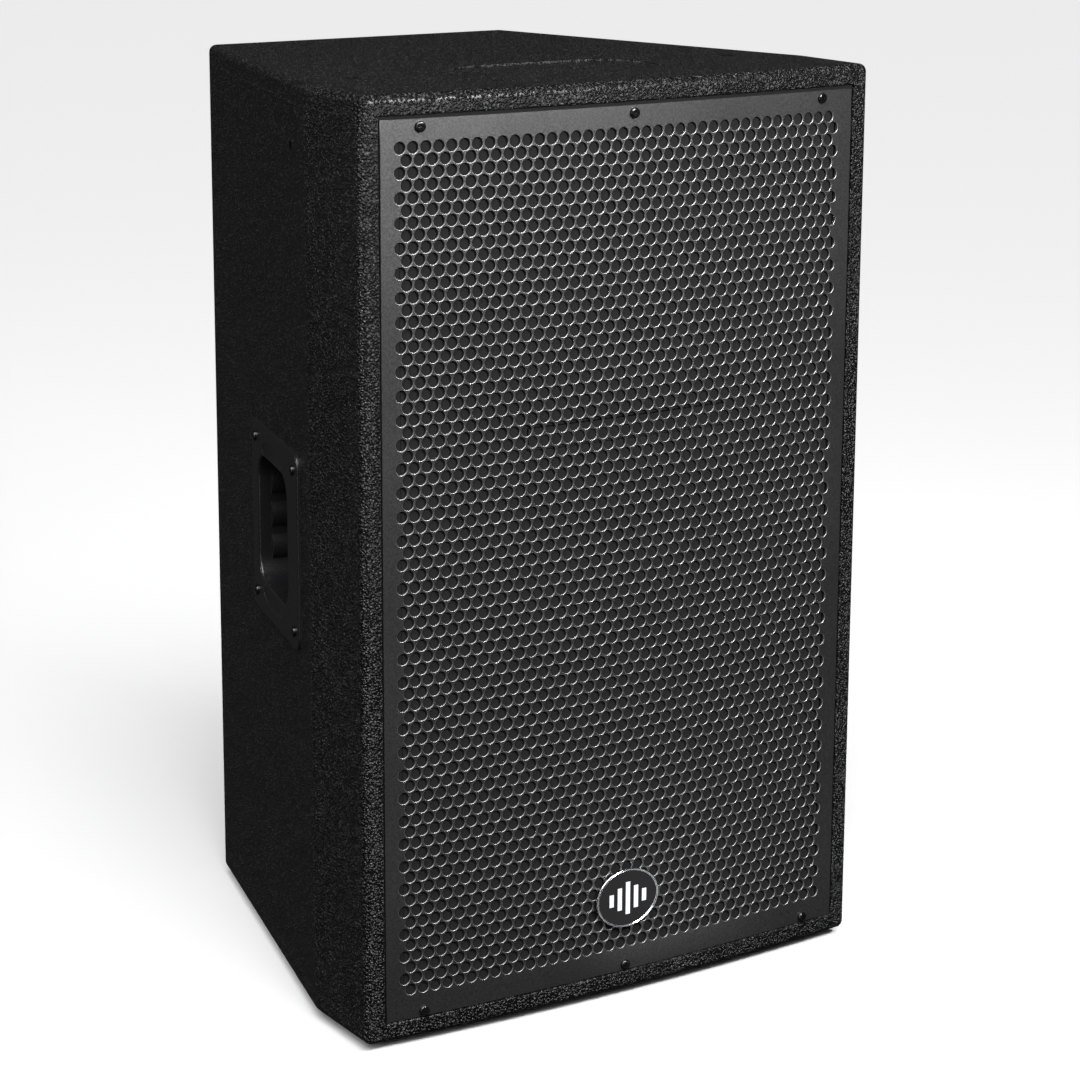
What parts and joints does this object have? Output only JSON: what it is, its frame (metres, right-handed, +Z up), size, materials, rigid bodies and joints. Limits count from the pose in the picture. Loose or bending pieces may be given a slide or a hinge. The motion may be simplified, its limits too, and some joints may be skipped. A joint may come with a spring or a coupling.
{
  "type": "pa speaker cabinet",
  "caption": "Passive two-way loudspeaker cabinet: tapered textured box, bowed perforated grille, woofer and horn, side pocket handles, pole socket and rigging inserts.",
  "frame": {"origin": "on the floor under the middle of the cabinet's box", "axes": "+Z up, the grille faces -Y, +X to the right as seen by a listener who looks at the grille"},
  "size_m": [0.446, 0.4072, 0.707],
  "materials": {
    "textured_paint": "plywood under a coarse black textured paint",
    "plywood": "bare birch plywood",
    "grille_steel": "satin black powder coat",
    "foam": "open-cell black foam",
    "wool": "white polyester wool",
    "black_zinc": "black zinc",
    "badge_gloss": "polished black",
    "bright_chrome": "bright",
    "cast_frame": "black powder-coated die casting",
    "cone_paper": "pressed black paper",
    "surround_cloth": "doped cloth",
    "coil_former": "foil and copper winding",
    "plated_steel": "zinc plated",
    "ferrite": "sintered grey",
    "moulded_black": "moulded black",
    "input_steel": "fine black powder coat",
    "rubber_black": "matt",
    "circuit_board": "green laminate",
    "enamelled_copper": "enamelled winding",
    "capacitor_film": "yellow film",
    "lead_sheath": "black sheath"
  },
  "bodies": {
    "cabinet": {"base_screws": "black_zinc", "bottom_panel": "textured_paint", "crossover_board": "circuit_board", "crossover_capacitors": "capacitor_film", "crossover_coils": "enamelled_copper", "crossover_spacers": "moulded_black", "crossover_terminals": "moulded_black", "damping_wool": "wool", "driver_bolts": "black_zinc", "driver_cover": "moulded_black", "driver_magnet": "ferrite", "driver_phase_plug": "moulded_black", "driver_suspension": "moulded_black", "driver_top_plate": "plated_steel", "driver_yoke": "plated_steel", "feet": "rubber_black", "front_baffle": "plywood", "front_side_left": "textured_paint", "front_side_right": "textured_paint", "glue_battens": "plywood", "grille": "grille_steel", "grille_cleats": "textured_paint", "grille_foam": "foam", "grille_screws": "black_zinc", "handle_left": "moulded_black", "handle_right": "moulded_black", "horn_flare": "moulded_black", "horn_screws": "black_zinc", "input_gasket": "rubber_black", "input_plate": "input_steel", "input_sockets": "moulded_black", "internal_leads": "lead_sheath", "lead_clips": "moulded_black", "mode_switch_body": "moulded_black", "panel_screws": "black_zinc", "pole_cup": "moulded_black", "port_tubes": "moulded_black", "rear_panel": "textured_paint", "rear_side_left": "textured_paint", "rear_side_right": "textured_paint", "rigging_inserts": "black_zinc", "top_panel": "textured_paint", "window_brace": "plywood", "woofer_basket": "cast_frame", "woofer_gasket": "cone_paper", "woofer_magnet": "ferrite", "woofer_screws": "black_zinc", "woofer_spider": "surround_cloth", "woofer_surround": "surround_cloth", "woofer_terminals": "moulded_black", "woofer_top_plate": "plated_steel", "woofer_yoke": "plated_steel"},
    "badge": {"badge_plate": "badge_gloss", "badge_rim": "bright_chrome", "badge_emblem": "bright_chrome"},
    "woofer_moving_parts": {"woofer_cone": "cone_paper", "woofer_dust_cap": "cone_paper", "woofer_voice_coil": "coil_former"},
    "driver_dome": {"driver_diaphragm": "coil_former"},
    "mode_slider": {"mode_switch_slider": "moulded_black"}
  },
  "joints": [
    {"name": "badge_turn", "type": "hinge", "parent": "cabinet", "child": "badge", "pos_m": [0, -0.2005, 0.0825], "axis": [0, -1, 0], "range_deg": [0, 90]},
    {"name": "woofer_stroke", "type": "slide", "parent": "cabinet", "child": "woofer_moving_parts", "axis": [0, -1, 0], "range_m": [-0.008, 0.008], "stiffness_N_per_m": 6300, "deforming": ["woofer_surround", "woofer_spider"]},
    {"name": "driver_stroke", "type": "slide", "parent": "cabinet", "child": "driver_dome", "axis": [0, -1, 0], "range_m": [-0.0004, 0.0004], "stiffness_N_per_m": 2000},
    {"name": "mode_switch", "type": "slide", "parent": "cabinet", "child": "mode_slider", "axis": [1, 0, 0], "range_m": [0, 0.008]}
  ]
}
